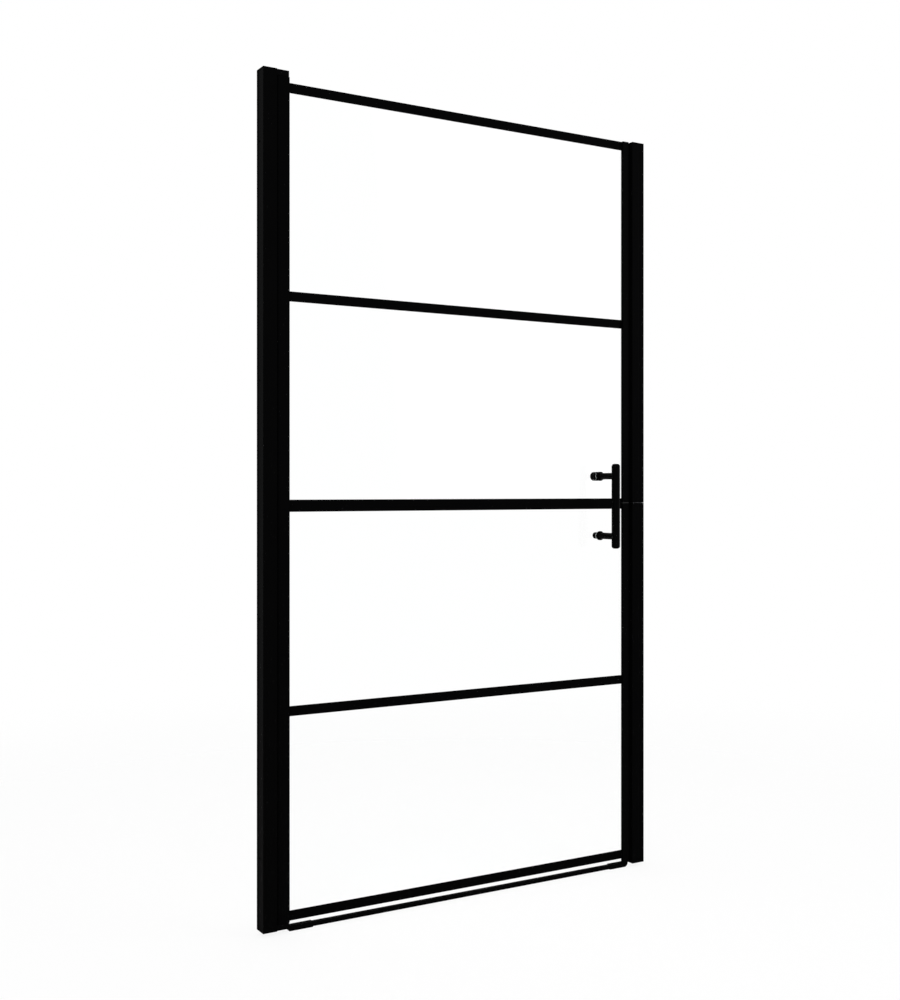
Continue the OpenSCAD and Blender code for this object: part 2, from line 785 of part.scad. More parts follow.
module closing_stile() {
  slot_x = closing_x1 - slot_lip;
  color(coat_black) rise(closing_z0 + closing_cap_t, glass_z1 - closing_cap_t) difference() {
    soft_box2(closing_x0, -closing_d / 2, closing_x1, closing_d / 2, edge_r);
    closing_chambers(0);
    rear_lip_cut(closing_x0);
    box2(closing_x0 - over, -pocket_w / 2, closing_pocket_x, pocket_w / 2);
    box2(slot_x - over, -slot_mouth / 2, closing_x1 + over, slot_mouth / 2);
    box2(slot_x - slot_depth, -slot_w / 2, slot_x, slot_w / 2);
  }
}

module closing_gasket() {
  color(rubber_black) rise(closing_z0 + closing_cap_t, glass_z1 - closing_cap_t) difference() {
    box2(closing_x0 - gasket_lip, -pocket_w / 2, closing_pocket_x, pocket_w / 2);
    box2(closing_x0 - gasket_lip - over, -glass_t / 2, glass_x1, glass_t / 2);
    rear_lip_cut(closing_x0 - gasket_lip);
  }
}

// Cap over an end of the closing stile, cut out round the pane
module closing_cap(z0, plug_z0) {
  difference() {
    rise(z0, z0 + closing_cap_t)
      soft_box2(closing_x0, -closing_d / 2, closing_x1, closing_d / 2, edge_r);
    rise(z0 - over, z0 + closing_cap_t + over) {
      box2(closing_x0 - over, -glass_t / 2, glass_x1, glass_t / 2);
      rear_lip_cut(closing_x0);
    }
  }
  rise(plug_z0, plug_z0 + closing_plug) closing_chambers(seat_gap);
}

module closing_cap_top() {
  color(plastic_black) closing_cap(glass_z1 - closing_cap_t, glass_z1 - closing_cap_t - closing_plug);
}

module closing_cap_bottom() {
  color(plastic_black) closing_cap(closing_z0, closing_z0 + closing_cap_t);
}

module leaf_magnet_strip() {
  foot_x0 = closing_x1 - slot_lip - slot_depth + slot_clear;
  foot_x1 = closing_x1 - slot_lip - slot_clear;
  foot_w = slot_w - 2 * slot_clear;
  neck_w = slot_mouth - 2 * slot_clear;
  color(rubber_black) rise(closing_z0 + closing_cap_t, glass_z1 - closing_cap_t) {
    soft_box2(closing_x1, -magnet_w / 2, closing_x1 + magnet_t, magnet_w / 2, edge_r);
    box2(foot_x0, -neck_w / 2, closing_x1 + edge_r, neck_w / 2);
    box2(foot_x0, -foot_w / 2, foot_x1, foot_w / 2);
  }
}

// Flat bar bonded to the outer face of the pane
module glass_bar(z0, h) {
  color(coat_black) translate([bar_x0, bar_y, z0]) cube([bar_x1 - bar_x0, bar_t, h]);
}

module top_bar() {
  glass_bar(glass_z1 - bar_h, bar_h);
}

module upper_bar() {
  glass_bar(upper_bar_z, bar_h);
}

module middle_bar() {
  glass_bar(middle_z0, middle_bar_h);
}

module lower_bar() {
  glass_bar(lower_bar_z, bar_h);
}

module bottom_bar() {
  glass_bar(bottom_bar_z, bar_h);
}

// Profile drawn in Y and Z, extruded along X
module run(x0, x1) {
  translate([x0, 0, 0]) rotate([90, 0, 90]) linear_extrude(x1 - x0) children();
}

module drip_rail() {
  slot_z = drip_z0 + drip_mouth_depth;
  color(coat_black) run(drip_x0, drip_x1) difference() {
    soft_box2(-drip_d / 2, drip_z0, drip_d / 2, drip_z1, edge_r);
    box2(-glass_t / 2, glass_z0, glass_t / 2, drip_z1 + over);
    box2(-drip_mouth / 2, drip_z0 - over, drip_mouth / 2, slot_z + over / 2);
    box2(-drip_slot_w / 2, slot_z, drip_slot_w / 2, slot_z + drip_slot_depth);
  }
}

// Rubber seal with two lips, held in the slot under the rail between the end caps
module drip_seal() {
  slot_z = drip_z0 + drip_mouth_depth;
  neck = drip_mouth / 2 - slot_clear;
  foot = drip_slot_w / 2 - slot_clear;
  lip = neck / 2;
  color(rubber_black) run(drip_cap_x0 + drip_cap_l, drip_cap_x1 - drip_cap_l) {
    box2(-foot, slot_z + slot_clear, foot, slot_z + drip_slot_depth - slot_clear);
    box2(-neck, drip_z0, neck, slot_z + drip_slot_depth - slot_clear);
    for (y = [-neck, neck - lip]) box2(y, drip_z0 - drip_seal_drop, y + lip, drip_z0 + over / 2);
  }
}

// End cap pushed over the drip rail: a sleeve with a closed, rounded end
module drip_cap(end_t, end_r) {
  round_x = drip_cap_x0 + end_r;
  difference() {
    intersection() {
      run(drip_cap_x0, drip_cap_x0 + drip_cap_l)
        soft_box2(-drip_cap_d / 2, drip_cap_z0, drip_cap_d / 2, drip_cap_z1, edge_r);
      translate([0, drip_cap_d, 0]) rotate([90, 0, 0]) linear_extrude(2 * drip_cap_d) union() {
        box2(round_x, drip_cap_z0 - over, drip_cap_x0 + drip_cap_l + over, drip_cap_z1 + over);
        box2(drip_cap_x0 - over, drip_cap_z0 + end_r, round_x + over, drip_cap_z1 + over);
        translate([round_x, drip_cap_z0 + end_r]) circle(r = end_r);
      }
    }
    run(drip_cap_x0 + end_t, drip_cap_x0 + drip_cap_l + over) {
      soft_box2(-drip_d / 2, drip_z0, drip_d / 2, drip_z1, edge_r);
      box2(-glass_t / 2, drip_z1 - over, glass_t / 2, drip_cap_z1 + over);
    }
  }
}

module drip_cap_hinge() {
  color(plastic_black) drip_cap(drip_cap_t, drip_cap_r);
}

module drip_cap_closing() {
  color(plastic_black) difference() {
    translate([drip_cap_x0 + drip_cap_x1, 0, 0]) mirror([1, 0, 0]) drip_cap(drip_tail_t, drip_tail_r);
    run(drip_x1 - over, glass_x1) box2(-glass_t / 2, glass_z0, glass_t / 2, drip_cap_z1 + over);
  }
}

// Round grip with a threaded socket for each stud
module handle_bar() {
  color(coat_black) difference() {
    translate([handle_x, grip_y, handle_z]) rotate_extrude() intersection() {
      soft_box2(-grip_d / 2, -grip_l / 2, grip_d / 2, grip_l / 2, grip_edge);
      box2(0, -grip_l, grip_d, grip_l);
    }
    for (z = [lower_z, upper_z]) rod_y(handle_x, stud_y0, grip_y + grip_d, z, stud_d + 2 * press_gap);
  }
}

// Post between grip and collar, hollowed at one end to sit on the grip
module handle_post(z) {
  color(coat_black) difference() {
    ring_y(grip_y, collar_y - collar_l, z, handle_post_d, stud_d + 2 * stud_clear);
    translate([handle_x, grip_y, z - handle_post_d])
      cylinder(d = grip_d + 2 * press_gap, h = 2 * handle_post_d);
  }
}

module handle_post_upper() {
  handle_post(upper_z);
}

module handle_post_lower() {
  handle_post(lower_z);
}

module handle_collar(z) {
  color(coat_black) ring_y(collar_y - collar_l, collar_y, z, collar_d, stud_d + 2 * stud_clear);
}

module handle_collar_upper() {
  handle_collar(upper_z);
}

module handle_collar_lower() {
  handle_collar(lower_z);
}

module handle_front_washers() {
  color(soft_clear) for (z = [lower_z, upper_z])
    ring_y(collar_y, -glass_t / 2, z, washer_d, stud_d + 2 * stud_clear);
}

module handle_rear_washers() {
  color(soft_clear) for (z = [lower_z, upper_z])
    ring_y(glass_t / 2, nut_y, z, washer_d, stud_d + 2 * stud_clear);
}

module glass_sleeves() {
  color(nylon_white) for (z = [lower_z, upper_z])
    ring_y(-glass_t / 2, glass_t / 2, z, glass_hole_d - 2 * seat_gap, stud_d + 2 * stud_clear);
}

module handle_studs() {
  color(steel_bright) for (z = [lower_z, upper_z]) rod_y(handle_x, stud_y0, stud_y1, z, stud_d);
}

// Turned nut on the inner end of a stud
module stud_nut(z, d, l, edge) {
  color(coat_black) difference() {
    translate([handle_x, nut_y, z]) turned(d, l, edge);
    rod_y(handle_x, nut_y - over, stud_y1, z, stud_d + 2 * press_gap);
  }
}

module handle_knob() {
  stud_nut(upper_z, knob_d, knob_l, knob_edge);
}

module handle_cap_nut() {
  stud_nut(lower_z, nut_d, nut_l, nut_edge);
}

hinge_wall_channel();
hinge_post();
hinge_cap_top();
hinge_cap_bottom();
hinge_seal();
hinge_lock_screws();
hinge_lock_caps();
upper_pivot_block();
lower_pivot_block();
upper_pivot_pin();
lower_pivot_pin();
pivot_block_screws();
strike_channel_upper();
strike_channel_lower();
strike_post();
strike_cover_upper();
strike_cover_lower();
strike_cap_top();
strike_cap_bottom();
strike_magnet_strip();
strike_stop_seal();
strike_lock_screws();
strike_lock_caps();
hinge_stile();
upper_pivot_bush();
lower_pivot_bush();
hinge_gasket();
glass_pane();
closing_stile();
closing_gasket();
closing_cap_top();
closing_cap_bottom();
leaf_magnet_strip();
top_bar();
upper_bar();
middle_bar();
lower_bar();
bottom_bar();
drip_rail();
drip_seal();
drip_cap_hinge();
drip_cap_closing();
handle_bar();
handle_post_upper();
handle_post_lower();
handle_collar_upper();
handle_collar_lower();
handle_front_washers();
handle_rear_washers();
glass_sleeves();
handle_studs();
handle_knob();
handle_cap_nut();
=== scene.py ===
import math

import bmesh
import bpy
from mathutils import Matrix, Vector


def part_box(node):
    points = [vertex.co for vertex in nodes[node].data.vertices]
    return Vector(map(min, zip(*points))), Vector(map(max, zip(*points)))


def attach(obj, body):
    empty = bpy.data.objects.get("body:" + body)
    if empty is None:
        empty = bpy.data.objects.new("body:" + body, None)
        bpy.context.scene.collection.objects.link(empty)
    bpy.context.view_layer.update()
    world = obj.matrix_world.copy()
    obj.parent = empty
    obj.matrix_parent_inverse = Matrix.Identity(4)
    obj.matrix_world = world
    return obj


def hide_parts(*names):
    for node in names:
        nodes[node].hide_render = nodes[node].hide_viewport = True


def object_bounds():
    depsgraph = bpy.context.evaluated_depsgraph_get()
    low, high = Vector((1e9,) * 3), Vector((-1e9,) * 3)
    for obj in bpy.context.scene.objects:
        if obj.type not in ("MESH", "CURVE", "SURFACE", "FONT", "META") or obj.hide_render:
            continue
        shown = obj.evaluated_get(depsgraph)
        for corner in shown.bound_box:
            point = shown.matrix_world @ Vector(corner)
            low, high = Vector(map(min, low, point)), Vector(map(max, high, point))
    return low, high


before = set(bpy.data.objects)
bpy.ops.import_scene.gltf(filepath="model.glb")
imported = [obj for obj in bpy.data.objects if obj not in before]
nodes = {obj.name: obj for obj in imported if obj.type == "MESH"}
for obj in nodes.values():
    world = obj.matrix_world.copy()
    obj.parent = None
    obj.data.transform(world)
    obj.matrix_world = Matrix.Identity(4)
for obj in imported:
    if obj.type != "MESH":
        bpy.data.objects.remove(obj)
cad_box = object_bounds()


# Wall channels: the U-shaped aluminium extrusions that are screwed to the walls of the niche.
# They are cut to length and powder coated in a deep satin black, so the coat has the soft
# orange-peel skin and the fine grain of baked powder.
class Ink:
    """A socket of a node tree, so that the maths of a finish reads as a plain expression."""

    def __init__(self, tree, socket=None):
        self.tree = tree
        self.socket = socket

    def node(self, kind, settings=None, sockets=None, out=0):
        made = self.tree.nodes.new(kind)
        for name, value in (settings or {}).items():
            setattr(made, name, value)
        for name, value in (sockets or {}).items():
            if isinstance(value, Ink):
                self.tree.links.new(value.socket, made.inputs[name])
            else:
                made.inputs[name].default_value = value
        return Ink(self.tree, made.outputs[out])

    def maths(self, operation, first, second):
        return self.node("ShaderNodeMath", {"operation": operation}, {0: first, 1: second})

    def __add__(self, other):
        return self.maths("ADD", self, other)

    def __radd__(self, other):
        return self.maths("ADD", other, self)

    def __sub__(self, other):
        return self.maths("SUBTRACT", self, other)

    def __rsub__(self, other):
        return self.maths("SUBTRACT", other, self)

    def __mul__(self, other):
        return self.maths("MULTIPLY", self, other)


def new_finish(name):
    """An empty material, with an Ink on its tree and its output node."""
    finish = bpy.data.materials.new(name)
    finish.use_nodes = True
    finish.node_tree.nodes.clear()
    ink = Ink(finish.node_tree)
    output = finish.node_tree.nodes.new("ShaderNodeOutputMaterial")
    return finish, ink, output


def cloudy(ink, scale, detail=2.0, stretch=(1.0, 1.0, 1.0)):
    """Soft noise from 0 to 1 in the piece's own metres, stretched where a grain has a direction."""
    place = ink.node("ShaderNodeTexCoord", out="Object")
    place = ink.node("ShaderNodeMapping", {"vector_type": "POINT"}, {"Vector": place, "Scale": stretch})
    return ink.node("ShaderNodeTexNoise", {"noise_dimensions": "3D"},
                    {"Vector": place, "Scale": scale, "Detail": detail, "Roughness": 0.55}, out=0)


def mixed(ink, mask, dark, light):
    """A colour between two, by a mask from 0 to 1. The first may come from other nodes."""
    first = dark if isinstance(dark, Ink) else (*dark, 1.0)
    return ink.node("ShaderNodeMix", {"data_type": "RGBA"},
                    {"Factor": mask, 6: first, 7: (*light, 1.0)}, out=2)


def dress(finish, *names):
    """Puts a finish on CAD nodes."""
    for name in names:
        for place in nodes[name].material_slots:
            place.material = finish


def powder_coat(name, dark, light, peel, rough, painted_line_height=None):
    """Baked black powder: orange peel under a fine grain, with a pale line painted at one height if
    given: painted light, not a mark in the coat.
    """
    finish, ink, output = new_finish(name)
    drift = cloudy(ink, 9.0)
    waves = cloudy(ink, peel, 1.0)
    grain = cloudy(ink, 2600.0, 1.0)
    skin = ink.node("ShaderNodeBump", None,
                    {"Height": waves * 0.8 + grain * 0.2, "Strength": 0.12, "Distance": 0.0004})
    black = mixed(ink, drift * 0.7 + grain * 0.3, dark, light)
    if painted_line_height is not None:
        # A pale grey line painted at one height: a painted highlight standing in for light showing at a
        # joint's hairline.
        place = ink.node("ShaderNodeTexCoord", out="Object")
        height = ink.node("ShaderNodeSeparateXYZ", None, {"Vector": place}, out="Z")
        half_line = 0.0004
        line = ink.node("ShaderNodeMath", {"operation": "COMPARE"}, {0: height, 1: painted_line_height, 2: half_line})
        black = mixed(ink, line, black, (0.07, 0.07, 0.07))
    coat = ink.node("ShaderNodeBsdfPrincipled", None, {
        "Base Color": black,
        "Roughness": rough + (grain - 0.5) * 0.10 + (drift - 0.5) * 0.06,
        "Specular IOR Level": 0.005, "Normal": skin})
    ink.tree.links.new(coat.socket, output.inputs["Surface"])
    return finish


channel_coat = powder_coat(
    "channel_powder_coat", (0.0008, 0.0008, 0.0008), (0.0016, 0.0016, 0.0017), peel=420.0, rough=0.46)
dress(channel_coat, "hinge_wall_channel", "strike_channel_upper", "strike_channel_lower")


# Inner hinge post: a black extrusion that slides in the wall channel to take up an uneven wall.
# The inner strike post does the same on the other side, but stays bare: it is drawn aluminium with
# fine die lines along its length, and shows only in the hairline where covers and channels butt.
post_coat = powder_coat(
    "post_powder_coat", (0.0008, 0.0008, 0.0008), (0.0015, 0.0015, 0.0017), peel=380.0, rough=0.44)
dress(post_coat, "hinge_post")

bare_alloy, ink, output = new_finish("bare_drawn_aluminium")
die_lines = cloudy(ink, 1400.0, 2.0, (1.0, 1.0, 0.004))
oxide = cloudy(ink, 14.0)
drawn = ink.node("ShaderNodeBump", None, {"Height": die_lines, "Strength": 0.08, "Distance": 0.0002})
alloy = ink.node("ShaderNodeBsdfPrincipled", None, {
    "Base Color": mixed(ink, die_lines * 0.5 + oxide * 0.5, (0.09, 0.09, 0.10), (0.15, 0.15, 0.16)),
    "Roughness": 0.30 + die_lines * 0.18, "Metallic": 1.0, "Normal": drawn})
ink.tree.links.new(alloy.socket, output.inputs["Surface"])
dress(bare_alloy, "strike_post")


# Strike covers: two lengths of thin black extrusion that snap over the inner strike post and butt
# at half height. They are cut from another run of coating, a trace smoother than the channels.
cover_coat = powder_coat(
    "cover_powder_coat", (0.0007, 0.0007, 0.0008), (0.0015, 0.0015, 0.0016), peel=460.0, rough=0.43)
dress(cover_coat, "strike_cover_upper", "strike_cover_lower")


# End caps and pivot blocks: black glass-filled plastic, moulded with a spark-eroded fine matt
# texture. The caps plug the posts' ends; the blocks are screwed into the hinge post's ports.
def moulded(name, dark, light, rough):
    """Moulded black plastic with an even spark-eroded texture."""
    finish, ink, output = new_finish(name)
    pits = ink.node("ShaderNodeTexVoronoi", {"feature": "SMOOTH_F1"}, {
        "Vector": ink.node("ShaderNodeTexCoord", out="Object"), "Scale": 2100.0, "Smoothness": 0.6})
    flow = cloudy(ink, 60.0)
    skin = ink.node("ShaderNodeBump", None, {"Height": pits, "Strength": 0.16, "Distance": 0.0003})
    body = ink.node("ShaderNodeBsdfPrincipled", None, {
        "Base Color": mixed(ink, flow * 0.6 + pits * 0.4, dark, light),
        "Roughness": rough + (flow - 0.5) * 0.08, "Specular IOR Level": 0.005, "Normal": skin})
    ink.tree.links.new(body.socket, output.inputs["Surface"])
    return finish


cap_plastic = moulded(
    "cap_plastic", (0.0010, 0.0010, 0.0010), (0.0020, 0.0020, 0.0020), rough=0.52)
dress(cap_plastic, "hinge_cap_top", "hinge_cap_bottom", "strike_cap_top", "strike_cap_bottom",
      "closing_cap_top", "closing_cap_bottom")
block_plastic = moulded(
    "pivot_block_plastic", (0.0010, 0.0010, 0.0011), (0.0021, 0.0021, 0.0022), rough=0.48)
dress(block_plastic, "upper_pivot_block", "lower_pivot_block")


# Pivot pins and screws: turned steel, zinc plated, with the fine rings that the lathe leaves. The
# pins stand in the blocks; the screws go into the hinge post's ports and through the channels' lips.
zinc, ink, output = new_finish("zinc_plated_steel")
rings = cloudy(ink, 3000.0, 1.0, (0.05, 0.05, 1.0))
bloom = cloudy(ink, 160.0)
turned = ink.node("ShaderNodeBump", None, {"Height": rings, "Strength": 0.06, "Distance": 0.0001})
plate = ink.node("ShaderNodeBsdfPrincipled", None, {
    "Base Color": mixed(ink, bloom, (0.50, 0.51, 0.53), (0.66, 0.66, 0.65)),
    "Roughness": 0.22 + bloom * 0.16, "Metallic": 1.0, "Normal": turned})
ink.tree.links.new(plate.socket, output.inputs["Surface"])
dress(zinc, "upper_pivot_pin", "lower_pivot_pin", "pivot_block_screws", "hinge_lock_screws",
      "strike_lock_screws", "handle_studs")


# Pivot bushes and glass sleeves: nylon, machined from rod. The black bushes plug the ends of the
# hinge stile and run on the pins; the cloudy white sleeves keep the handle's studs off the glass.
bush_nylon = moulded(
    "black_nylon", (0.0010, 0.0010, 0.0011), (0.0021, 0.0021, 0.0022), rough=0.46)
dress(bush_nylon, "upper_pivot_bush", "lower_pivot_bush")

nylon, ink, output = new_finish("white_nylon")
cloud = cloudy(ink, 120.0)
cut = cloudy(ink, 2400.0, 1.0)
tooled = ink.node("ShaderNodeBump", None, {"Height": cut, "Strength": 0.06, "Distance": 0.0002})
body = ink.node("ShaderNodeBsdfPrincipled", None, {
    "Base Color": mixed(ink, cloud, (0.74, 0.73, 0.69), (0.84, 0.83, 0.80)),
    "Roughness": 0.42 + cloud * 0.12, "Specular IOR Level": 0.4, "Normal": tooled})
ink.tree.links.new(body.socket, output.inputs["Surface"])
dress(nylon, "glass_sleeves")


# Lock screw caps: small domed plastic caps pushed over the screw heads on the inner side of both
# posts. Each has a thin rim on the channel and a notch in it for prising the cap off.
def lock_cap_mesh(radius, height, rim):
    """One cap along +Y with its seat at Y = 0, hollow over the screw head."""
    shell = bmesh.new()
    wall = 0.00105
    crown = 0.0011
    notch_reach = 0.25
    notch_pull = 0.93
    hair = 1e-6
    dome = 0.35 * height
    outside = [(radius, 0.0), (radius, rim), (radius - 0.00025, rim + 0.0002),
               (radius - 0.0004, height - dome), (radius - 0.0008, height - 0.35 * dome),
               (radius - 0.0017, height - 0.10 * dome), (0.0, height)]
    hollow = radius - wall
    roof = height - crown
    inside = [(0.0, roof), (hollow, roof), (hollow, 0.0)]
    profile = [shell.verts.new((x, y, 0.0)) for x, y in outside + inside]
    for first, second in zip(profile, profile[1:] + profile[:1]):
        shell.edges.new((first, second))
    bmesh.ops.spin(shell, geom=shell.verts[:] + shell.edges[:], cent=(0, 0, 0), axis=(0, 1, 0),
                   angle=math.tau, steps=40, use_duplicate=False)
    bmesh.ops.remove_doubles(shell, verts=shell.verts[:], dist=hair)
    for corner in shell.verts:
        turn = math.atan2(corner.co.z, corner.co.x) + math.pi / 2
        on_rim = corner.co.y < rim + hair and corner.co.xz.length > radius - 10 * hair
        if on_rim and abs(turn) < notch_reach:
            corner.co.x *= notch_pull
            corner.co.z *= notch_pull
    bmesh.ops.recalc_face_normals(shell, faces=shell.faces[:])
    mesh = bpy.data.meshes.new("lock_cap")
    shell.to_mesh(mesh)
    shell.free()
    mesh.shade_smooth()
    return mesh


def lock_cap_row():
    """A node tree that sets one cap at even steps up a post."""
    tree = bpy.data.node_groups.new("lock_cap_row", "GeometryNodeTree")
    tree.interface.new_socket("Cap", in_out="INPUT", socket_type="NodeSocketObject")
    tree.interface.new_socket("Count", in_out="INPUT", socket_type="NodeSocketInt")
    tree.interface.new_socket("Start", in_out="INPUT", socket_type="NodeSocketVector")
    tree.interface.new_socket("Step", in_out="INPUT", socket_type="NodeSocketVector")
    tree.interface.new_socket("Finish", in_out="INPUT", socket_type="NodeSocketMaterial")
    tree.interface.new_socket("Caps", in_out="OUTPUT", socket_type="NodeSocketGeometry")
    ink = Ink(tree)
    given = tree.nodes.new("NodeGroupInput")
    value = {socket.name: Ink(tree, socket) for socket in given.outputs}
    line = ink.node("GeometryNodeMeshLine", {"mode": "OFFSET", "count_mode": "TOTAL"},
                    {"Count": value["Count"], "Start Location": value["Start"], "Offset": value["Step"]})
    cap = ink.node("GeometryNodeObjectInfo", {"transform_space": "ORIGINAL"},
                   {"Object": value["Cap"]}, out="Geometry")
    row = ink.node("GeometryNodeInstanceOnPoints", None, {"Points": line, "Instance": cap})
    row = ink.node("GeometryNodeRealizeInstances", None, {"Geometry": row})
    row = ink.node("GeometryNodeSetMaterial", None, {"Geometry": row, "Material": value["Finish"]})
    result = tree.nodes.new("NodeGroupOutput")
    tree.links.new(row.socket, result.inputs["Caps"])
    return tree


def set_lock_caps(name, node, count):
    """Caps on the screws of one post, in place of its plain CAD caps."""
    low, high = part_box(node)
    radius = (high.x - low.x) / 2
    height = high.y - low.y
    rim = 0.0008
    pattern = bpy.data.objects.new(name + "_pattern", lock_cap_mesh(radius, height, rim))
    bpy.context.scene.collection.objects.link(pattern)
    holder = bpy.data.objects.new(name + "_holder", bpy.data.meshes.new(name + "_holder"))
    bpy.context.scene.collection.objects.link(holder)
    rows = holder.modifiers.new("caps", "NODES")
    rows.node_group = lock_cap_row()
    sockets = rows.node_group.interface.items_tree
    places = {item.name: item.identifier for item in sockets if item.in_out == "INPUT"}
    rows[places["Cap"]] = pattern
    rows[places["Count"]] = count
    rows[places["Start"]] = ((low.x + high.x) / 2, low.y, low.z + radius)
    rows[places["Step"]] = (0.0, 0.0, (high.z - low.z - 2 * radius) / (count - 1))
    rows[places["Finish"]] = lock_cap_plastic
    bpy.context.view_layer.update()
    built = holder.evaluated_get(bpy.context.evaluated_depsgraph_get())
    mesh = bpy.data.meshes.new_from_object(built)
    caps = bpy.data.objects.new(name, mesh)
    bpy.context.scene.collection.objects.link(caps)
    bpy.data.objects.remove(holder)
    bpy.data.objects.remove(pattern)
    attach(caps, "frame")
    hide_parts(node)


lock_cap_plastic = moulded(
    "lock_cap_plastic", (0.0010, 0.0010, 0.0011), (0.0022, 0.0022, 0.0022), rough=0.40)
screws_a_post = 4
set_lock_caps("hinge_screw_covers", "hinge_lock_caps", screws_a_post)
set_lock_caps("strike_screw_covers", "strike_lock_caps", screws_a_post)


# Stiles of the leaf: the hinge stile has a round nose about the pins, and the closing stile a slot
# for its magnet strip. Both are powder-coated extrusions glazed on to the pane with gaskets. A fine pale
# line painted on the closing stile carries on the joint line of the strike covers: painted light, not a
# mark in the coat.
stile_coat = powder_coat(
    "stile_powder_coat", (0.0008, 0.0008, 0.0008), (0.0015, 0.0015, 0.0017), peel=400.0, rough=0.44)
dress(stile_coat, "hinge_stile")
joint_z = (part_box("strike_cover_lower")[1].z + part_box("strike_cover_upper")[0].z) / 2
painted_line_coat = powder_coat(
    "painted_line_stile_coat", (0.0008, 0.0008, 0.0008), (0.0015, 0.0015, 0.0017),
    peel=400.0, rough=0.44, painted_line_height=joint_z)
dress(painted_line_coat, "closing_stile")


# Glass: one clear tempered pane with polished edges, five millimetres thick. Seen through its face it
# is almost colourless; the iron in it shows as a green tint along the cut edges.
pane_glass, ink, output = new_finish("clear_tempered_glass")
facing = ink.node("ShaderNodeTexCoord", out="Normal")
facing = ink.node("ShaderNodeSeparateXYZ", None, {"Vector": facing}, out="Y")
edge = 1 - ink.maths("GREATER_THAN", facing * facing, 0.25)
ripple = cloudy(ink, 5.0, 1.0)
roll = ink.node("ShaderNodeBump", None, {"Height": ripple, "Strength": 0.02, "Distance": 0.0005})
pane = ink.node("ShaderNodeBsdfPrincipled", None, {
    "Base Color": mixed(ink, edge, (0.997, 1.0, 0.999), (0.42, 0.72, 0.60)),
    "Roughness": 0.004 + ripple * 0.004 + edge * 0.10,
    "IOR": 1.5, "Specular Tint": (0.10, 0.10, 0.10, 1.0), "Transmission Weight": 1.0, "Normal": roll})
lamp = ink.node("ShaderNodeLightPath", out="Is Shadow Ray")
open_way = ink.node("ShaderNodeBsdfTransparent", None, {"Color": (0.97, 0.985, 0.98, 1.0)})
through = ink.node("ShaderNodeMixShader", None, {0: lamp, 1: pane, 2: open_way})
ink.tree.links.new(through.socket, output.inputs["Surface"])
dress(pane_glass, "glass_pane")


# Gaskets, seals and magnet strips: extruded black rubber, matt with a faint dusty bloom. The gaskets
# wedge the pane in the stiles, the strips hold the door shut, and the lips close the gaps.
def rubber(name, dark, light, rough):
    """Extruded rubber with drawn lines along its length and a dry bloom."""
    finish, ink, output = new_finish(name)
    dust = cloudy(ink, 130.0)
    lines = cloudy(ink, 1500.0, 1.0, (1.0, 1.0, 0.01))
    skin = ink.node("ShaderNodeBump", None, {"Height": lines, "Strength": 0.08, "Distance": 0.0002})
    body = ink.node("ShaderNodeBsdfPrincipled", None, {
        "Base Color": mixed(ink, dust, dark, light),
        "Roughness": rough + (dust - 0.5) * 0.14, "Specular IOR Level": 0.005, "Normal": skin})
    ink.tree.links.new(body.socket, output.inputs["Surface"])
    return finish


seal_rubber = rubber(
    "seal_rubber", (0.0010, 0.0010, 0.0010), (0.0023, 0.0023, 0.0023), rough=0.72)
dress(seal_rubber, "hinge_seal", "strike_stop_seal", "hinge_gasket", "closing_gasket", "drip_seal")
magnet_rubber = rubber(
    "magnet_strip_rubber", (0.0012, 0.0012, 0.0013), (0.0023, 0.0023, 0.0024), rough=0.60)
dress(magnet_rubber, "strike_magnet_strip", "leaf_magnet_strip")


# Bars: flat aluminium strips bonded to the outer face of the pane, brushed along their length before
# they were coated, so the black keeps a faint grain from end to end.
bar_coat, ink, output = new_finish("bar_brushed_black")
brush = cloudy(ink, 1800.0, 2.0, (0.004, 1.0, 1.0))
drift = cloudy(ink, 7.0)
scored = ink.node("ShaderNodeBump", None, {"Height": brush, "Strength": 0.10, "Distance": 0.0002})
coat = ink.node("ShaderNodeBsdfPrincipled", None, {
    "Base Color": mixed(ink, brush * 0.6 + drift * 0.4,
                        (0.0007, 0.0007, 0.0008), (0.0016, 0.0016, 0.0017)),
    "Roughness": 0.40 + brush * 0.12, "Specular IOR Level": 0.005, "Normal": scored})
ink.tree.links.new(coat.socket, output.inputs["Surface"])
dress(bar_coat, "top_bar", "upper_bar", "middle_bar", "lower_bar", "bottom_bar")


# Drip rail: a small black extrusion pushed up on to the lower edge of the pane, with a rubber wiper
# below it and a moulded cap over each end.
rail_coat = powder_coat(
    "rail_powder_coat", (0.0008, 0.0008, 0.0008), (0.0016, 0.0016, 0.0017), peel=520.0, rough=0.46)
dress(rail_coat, "drip_rail")
rail_cap_plastic = moulded(
    "rail_cap_plastic", (0.0010, 0.0010, 0.0010), (0.0020, 0.0020, 0.0021), rough=0.50)
dress(rail_cap_plastic, "drip_cap_hinge", "drip_cap_closing")


# Handle: a round grip on two posts, turned from bar and finished in a smooth satin black. Studs pass
# through the pane to a knob above and a cap nut below on the inner side.
def turned_black(name, stretch, rough):
    """Smooth satin black over fine turning marks."""
    finish, ink, output = new_finish(name)
    marks = cloudy(ink, 2200.0, 1.0, stretch)
    touch = cloudy(ink, 38.0)
    skin = ink.node("ShaderNodeBump", None, {"Height": marks, "Strength": 0.05, "Distance": 0.0002})
    body = ink.node("ShaderNodeBsdfPrincipled", None, {
        "Base Color": mixed(ink, touch * 0.7 + marks * 0.3,
                            (0.0007, 0.0007, 0.0008), (0.0016, 0.0016, 0.0017)),
        "Roughness": rough + (touch - 0.5) * 0.10, "Specular IOR Level": 0.008, "Normal": skin})
    ink.tree.links.new(body.socket, output.inputs["Surface"])
    return finish


